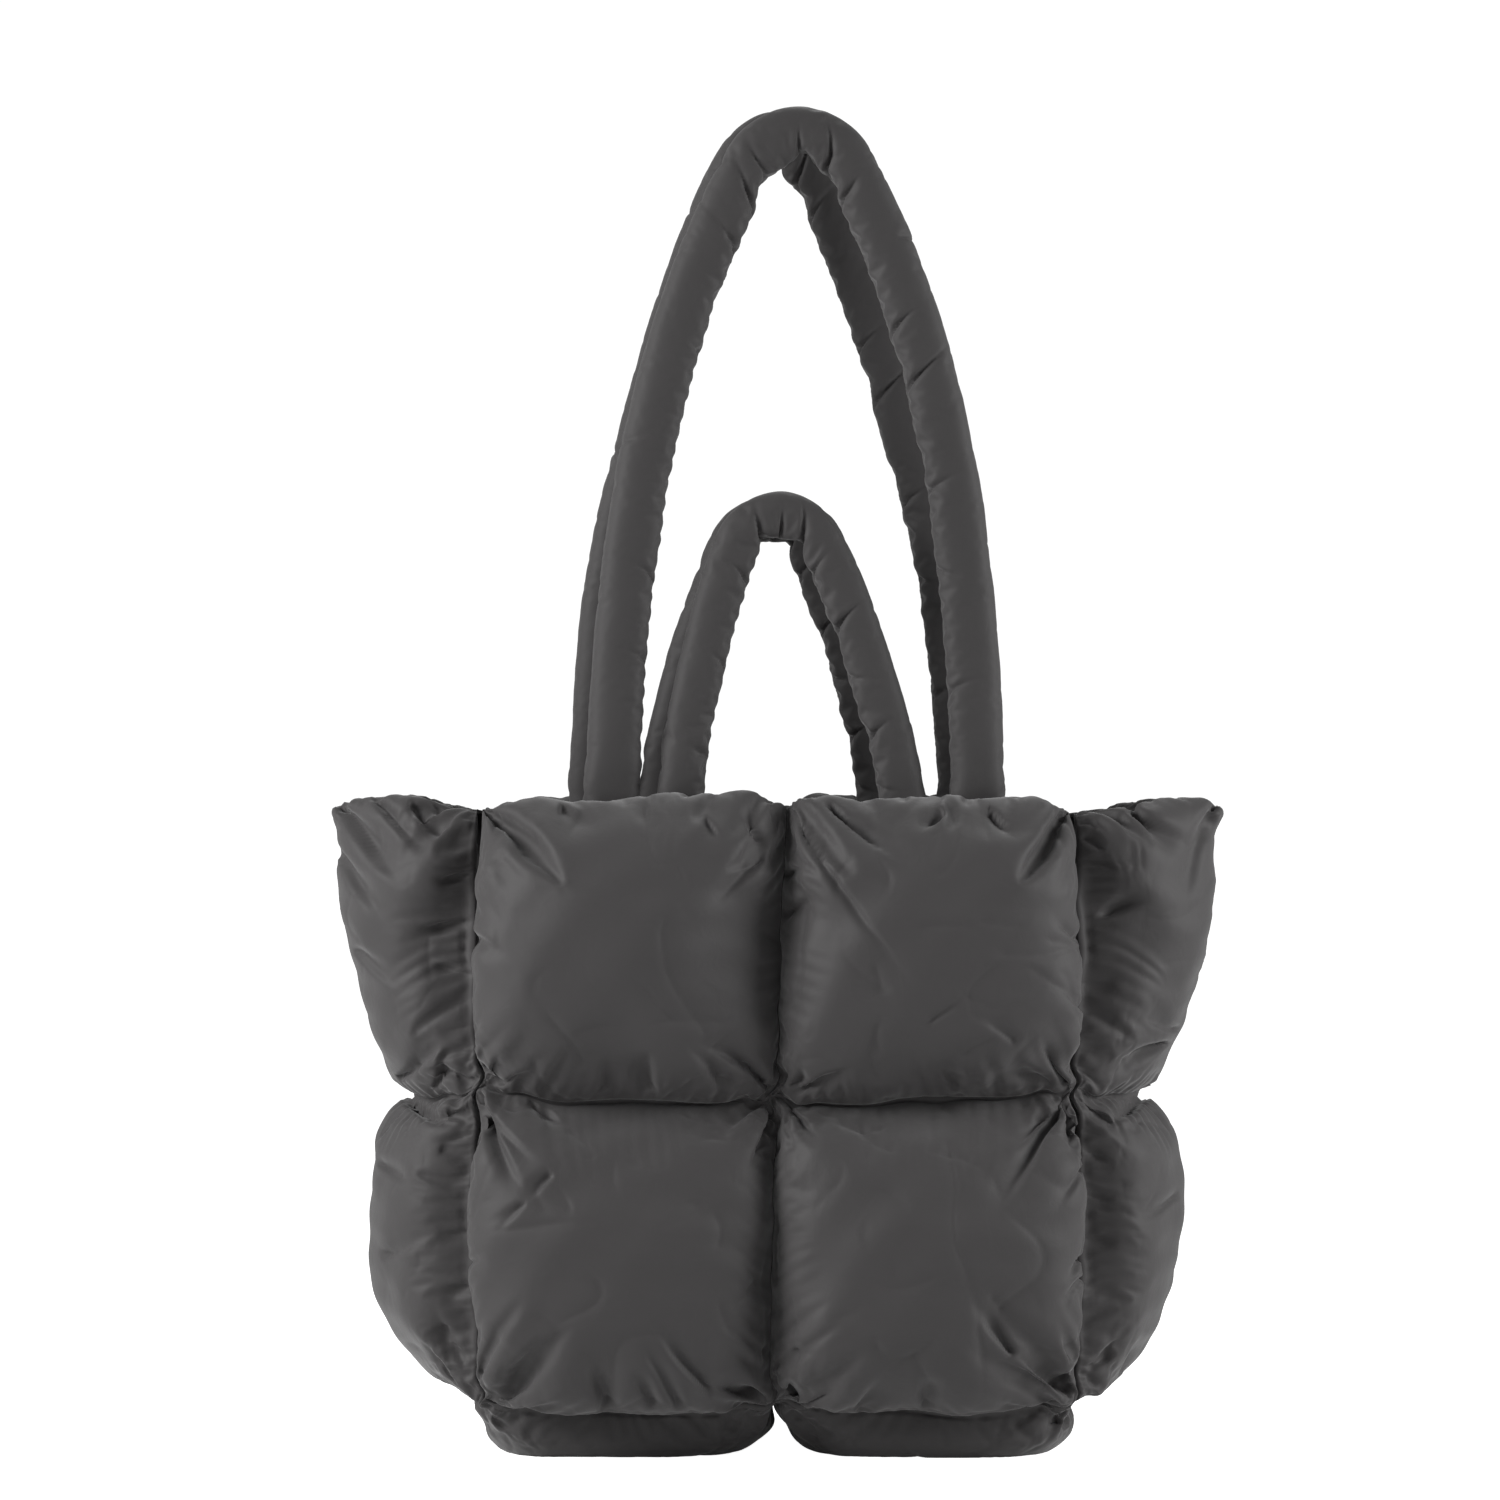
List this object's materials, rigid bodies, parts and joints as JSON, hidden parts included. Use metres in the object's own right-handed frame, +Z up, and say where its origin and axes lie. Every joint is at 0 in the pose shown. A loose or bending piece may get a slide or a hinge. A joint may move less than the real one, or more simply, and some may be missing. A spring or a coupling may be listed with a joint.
{
  "type": "puffer tote bag",
  "caption": "Open quilted puffer tote bag with square padded puffs, outward folded gussets, and padded tube handles in a long and a short length.",
  "frame": {"origin": "middle of the footprint, on the surface that the bag stands on", "axes": "+X to the right along the front panel, -Y out of the front panel, +Z up towards the handles"},
  "size_m": [0.4372, 0.1872, 0.6603],
  "materials": {
    "shell_fabric": "smooth matt dark grey nylon, softly padded",
    "handle_fabric": "smooth matt dark grey nylon over padded tubes"
  },
  "bodies": {
    "root": {"front_panel": "shell_fabric", "back_panel": "shell_fabric", "left_gusset": "shell_fabric", "right_gusset": "shell_fabric", "base_panel": "shell_fabric", "front_long_handle": "handle_fabric", "back_long_handle": "handle_fabric", "front_short_handle": "handle_fabric", "back_short_handle": "handle_fabric"}
  },
  "joints": []
}
